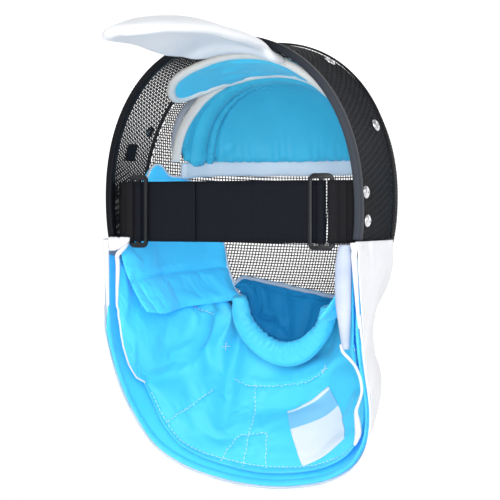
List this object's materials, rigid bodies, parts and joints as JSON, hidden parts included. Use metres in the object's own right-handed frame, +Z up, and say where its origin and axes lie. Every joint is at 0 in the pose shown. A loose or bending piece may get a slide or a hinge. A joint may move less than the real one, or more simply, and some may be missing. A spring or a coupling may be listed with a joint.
{
  "type": "fencing mask",
  "caption": "Fencing mask with a woven wire face and hood, padded white bib, blue lining and pads, wide rear elastic on buckles and a padded tongue.",
  "frame": {"origin": "where the crown of the head touches the crown pad, on the mask's middle plane", "axes": "+X to the wearer's left, +Y backwards out of the open back, +Z up"},
  "size_m": [0.2428, 0.3622, 0.3815],
  "materials": {
    "net": "satin black",
    "rim_trim": "satin dark grey",
    "seam_strip": "satin black",
    "net_patch": "matt black",
    "rivet": "satin",
    "elastic": "ribbed black elastic",
    "buckle": "matt black",
    "white_cloth": "smooth white",
    "white_binding": "smooth white",
    "label": "woven, bare",
    "blue_satin": "light blue satin"
  },
  "bodies": {
    "root": {"bib": "white_cloth", "bib_hem": "blue_satin", "bib_lining": "blue_satin", "buckle_left": "buckle", "buckle_right": "buckle", "cheek_pad_left": "blue_satin", "cheek_pad_right": "blue_satin", "chin_cup": "blue_satin", "chin_edging": "white_binding", "chin_roll": "blue_satin", "crown_pad": "blue_satin", "forehead_binding": "white_binding", "forehead_pad": "blue_satin", "front_mesh": "net", "label": "label", "lining_edging_left": "white_binding", "lining_edging_right": "white_binding", "net_patch": "net_patch", "rim_trim": "rim_trim", "rivet_crown_left": "rivet", "rivet_crown_right": "rivet", "rivet_strap_lower_left": "rivet", "rivet_strap_lower_right": "rivet", "rivet_strap_upper_left": "rivet", "rivet_strap_upper_right": "rivet", "rivet_temple_left": "rivet", "rivet_temple_right": "rivet", "seam_strip": "seam_strip", "side_mesh": "net", "strap": "elastic", "strap_anchor_left": "elastic", "strap_anchor_right": "elastic", "tongue": "white_cloth"}
  },
  "joints": []
}
